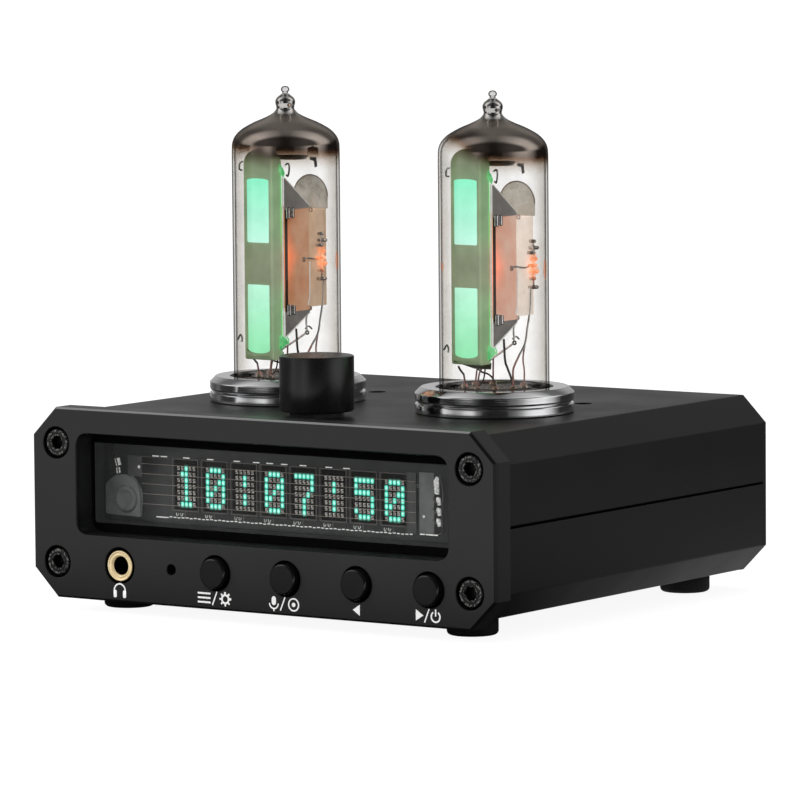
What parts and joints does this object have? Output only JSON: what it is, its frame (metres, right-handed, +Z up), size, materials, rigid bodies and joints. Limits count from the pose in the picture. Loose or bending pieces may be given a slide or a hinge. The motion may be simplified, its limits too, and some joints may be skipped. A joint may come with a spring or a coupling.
{
  "type": "desktop tube amplifier with clock display",
  "caption": "Low black desktop case with a dot-matrix display window, a row of buttons, a top knob and plug-in glass indicator tubes in steel rings.",
  "frame": {"origin": "on the surface under the feet, in the middle of the object's width and depth", "axes": "+X along the front to the viewer's right, +Y from the front panel to the rear, +Z up"},
  "size_m": [0.108, 0.0998, 0.1005],
  "materials": {
    "black_aluminium": "fine-blasted, black anodised, satin",
    "black_knob": "turned, black anodised, satin",
    "black_steel": "black oxide, semi-gloss",
    "black_rubber": "moulded, matte",
    "black_foam": "cut foam, matte",
    "display_glass": "clear, polished",
    "dark_glass": "dark coated, smooth",
    "display_phosphor": "printed phosphor, matte, lit",
    "nickel": "nickel plated, stamped",
    "circuit_board": "green solder mask, satin",
    "black_plastic": "moulded, satin",
    "gilt": "gilt, turned, polished",
    "turned_steel": "turned and polished steel",
    "dark_ceramic": "unglazed, matte",
    "tube_base_glass": "pressed glass, dark, glossy",
    "tube_glass": "blown glass, clear, glossy",
    "tube_getter_film": "thin metal film inside the dome",
    "screen_phosphor": "pale green printed coating, matte, lit",
    "electrode_metal": "stamped sheet, matt grey-brown",
    "cathode_glow": "hot oxide coating, lit",
    "copper_wire": "drawn copper, warm",
    "mica": "thin mineral sheet, satin",
    "blue_plastic": "moulded, semi-gloss",
    "white_plastic": "moulded, satin",
    "printed_white": "pad-printed marks, matte"
  },
  "bodies": {
    "case": {"front_panel": "black_aluminium", "upper_shell": "black_aluminium", "lower_shell": "black_aluminium", "rear_panel": "black_aluminium", "front_screw_1": "black_steel", "rear_screw_1": "black_steel", "front_screw_2": "black_steel", "rear_screw_2": "black_steel", "front_screw_3": "black_steel", "rear_screw_3": "black_steel", "front_screw_4": "black_steel", "rear_screw_4": "black_steel", "foot_1": "black_rubber", "foot_2": "black_rubber", "foot_3": "black_rubber", "foot_4": "black_rubber", "display_gasket": "black_foam", "display_cover_glass": "display_glass", "display_substrate": "dark_glass", "display_lead_frame": "nickel", "display_board": "circuit_board", "switch_1": "black_plastic", "switch_2": "black_plastic", "switch_3": "black_plastic", "switch_4": "black_plastic", "headphone_socket": "black_plastic", "headphone_bushing": "gilt", "microphone": "nickel", "line_socket": "black_plastic", "power_inlet": "nickel", "main_board": "circuit_board", "tube_board": "circuit_board", "potentiometer": "nickel", "potentiometer_nut": "nickel", "tube_ring_left": "turned_steel", "tube_socket_left": "dark_ceramic", "trimmer_left": "blue_plastic", "tube_ring_right": "turned_steel", "tube_socket_right": "dark_ceramic", "trimmer_right": "blue_plastic"},
    "knob": {"knob": "black_knob", "potentiometer_shaft": "nickel"},
    "button_1": {"button_1": "black_aluminium"},
    "button_2": {"button_2": "black_aluminium"},
    "button_3": {"button_3": "black_aluminium"},
    "button_4": {"button_4": "black_aluminium"},
    "tube_left": {"tube_base_left": "tube_base_glass", "tube_bulb_left": "tube_glass", "tube_target_left": "screen_phosphor", "tube_cage_left": "electrode_metal", "tube_shield_left": "mica", "tube_getter_left": "electrode_metal"},
    "tube_right": {"tube_base_right": "tube_base_glass", "tube_bulb_right": "tube_glass", "tube_target_right": "screen_phosphor", "tube_cage_right": "electrode_metal", "tube_shield_right": "mica", "tube_getter_right": "electrode_metal"},
    "trimmer_rotor_left": {"trimmer_rotor_left": "white_plastic"},
    "trimmer_rotor_right": {"trimmer_rotor_right": "white_plastic"}
  },
  "joints": [
    {"name": "knob_turn", "type": "hinge", "parent": "case", "child": "knob", "pos_m": [0, -0.029, 0.045], "axis": [0, 0, 1], "range_deg": [-150, 150]},
    {"name": "button_1_press", "type": "slide", "parent": "case", "child": "button_1", "axis": [0, 1, 0], "range_m": [0, 0.0005], "stiffness_N_per_m": 400, "springref_m": -0.001},
    {"name": "button_2_press", "type": "slide", "parent": "case", "child": "button_2", "axis": [0, 1, 0], "range_m": [0, 0.0005], "stiffness_N_per_m": 400, "springref_m": -0.001},
    {"name": "button_3_press", "type": "slide", "parent": "case", "child": "button_3", "axis": [0, 1, 0], "range_m": [0, 0.0005], "stiffness_N_per_m": 400, "springref_m": -0.001},
    {"name": "button_4_press", "type": "slide", "parent": "case", "child": "button_4", "axis": [0, 1, 0], "range_m": [0, 0.0005], "stiffness_N_per_m": 400, "springref_m": -0.001},
    {"name": "tube_left_lift", "type": "slide", "parent": "case", "child": "tube_left", "axis": [0, 0, 1], "range_m": [0, 0.015]},
    {"name": "tube_right_lift", "type": "slide", "parent": "case", "child": "tube_right", "axis": [0, 0, 1], "range_m": [0, 0.015]},
    {"name": "trimmer_left_turn", "type": "hinge", "parent": "case", "child": "trimmer_rotor_left", "pos_m": [-0.019, 0.0185, 0.034], "axis": [0, 0, 1], "range_deg": [-135, 135]},
    {"name": "trimmer_right_turn", "type": "hinge", "parent": "case", "child": "trimmer_rotor_right", "pos_m": [0.03, 0.0185, 0.034], "axis": [0, 0, 1], "range_deg": [-135, 135]}
  ]
}
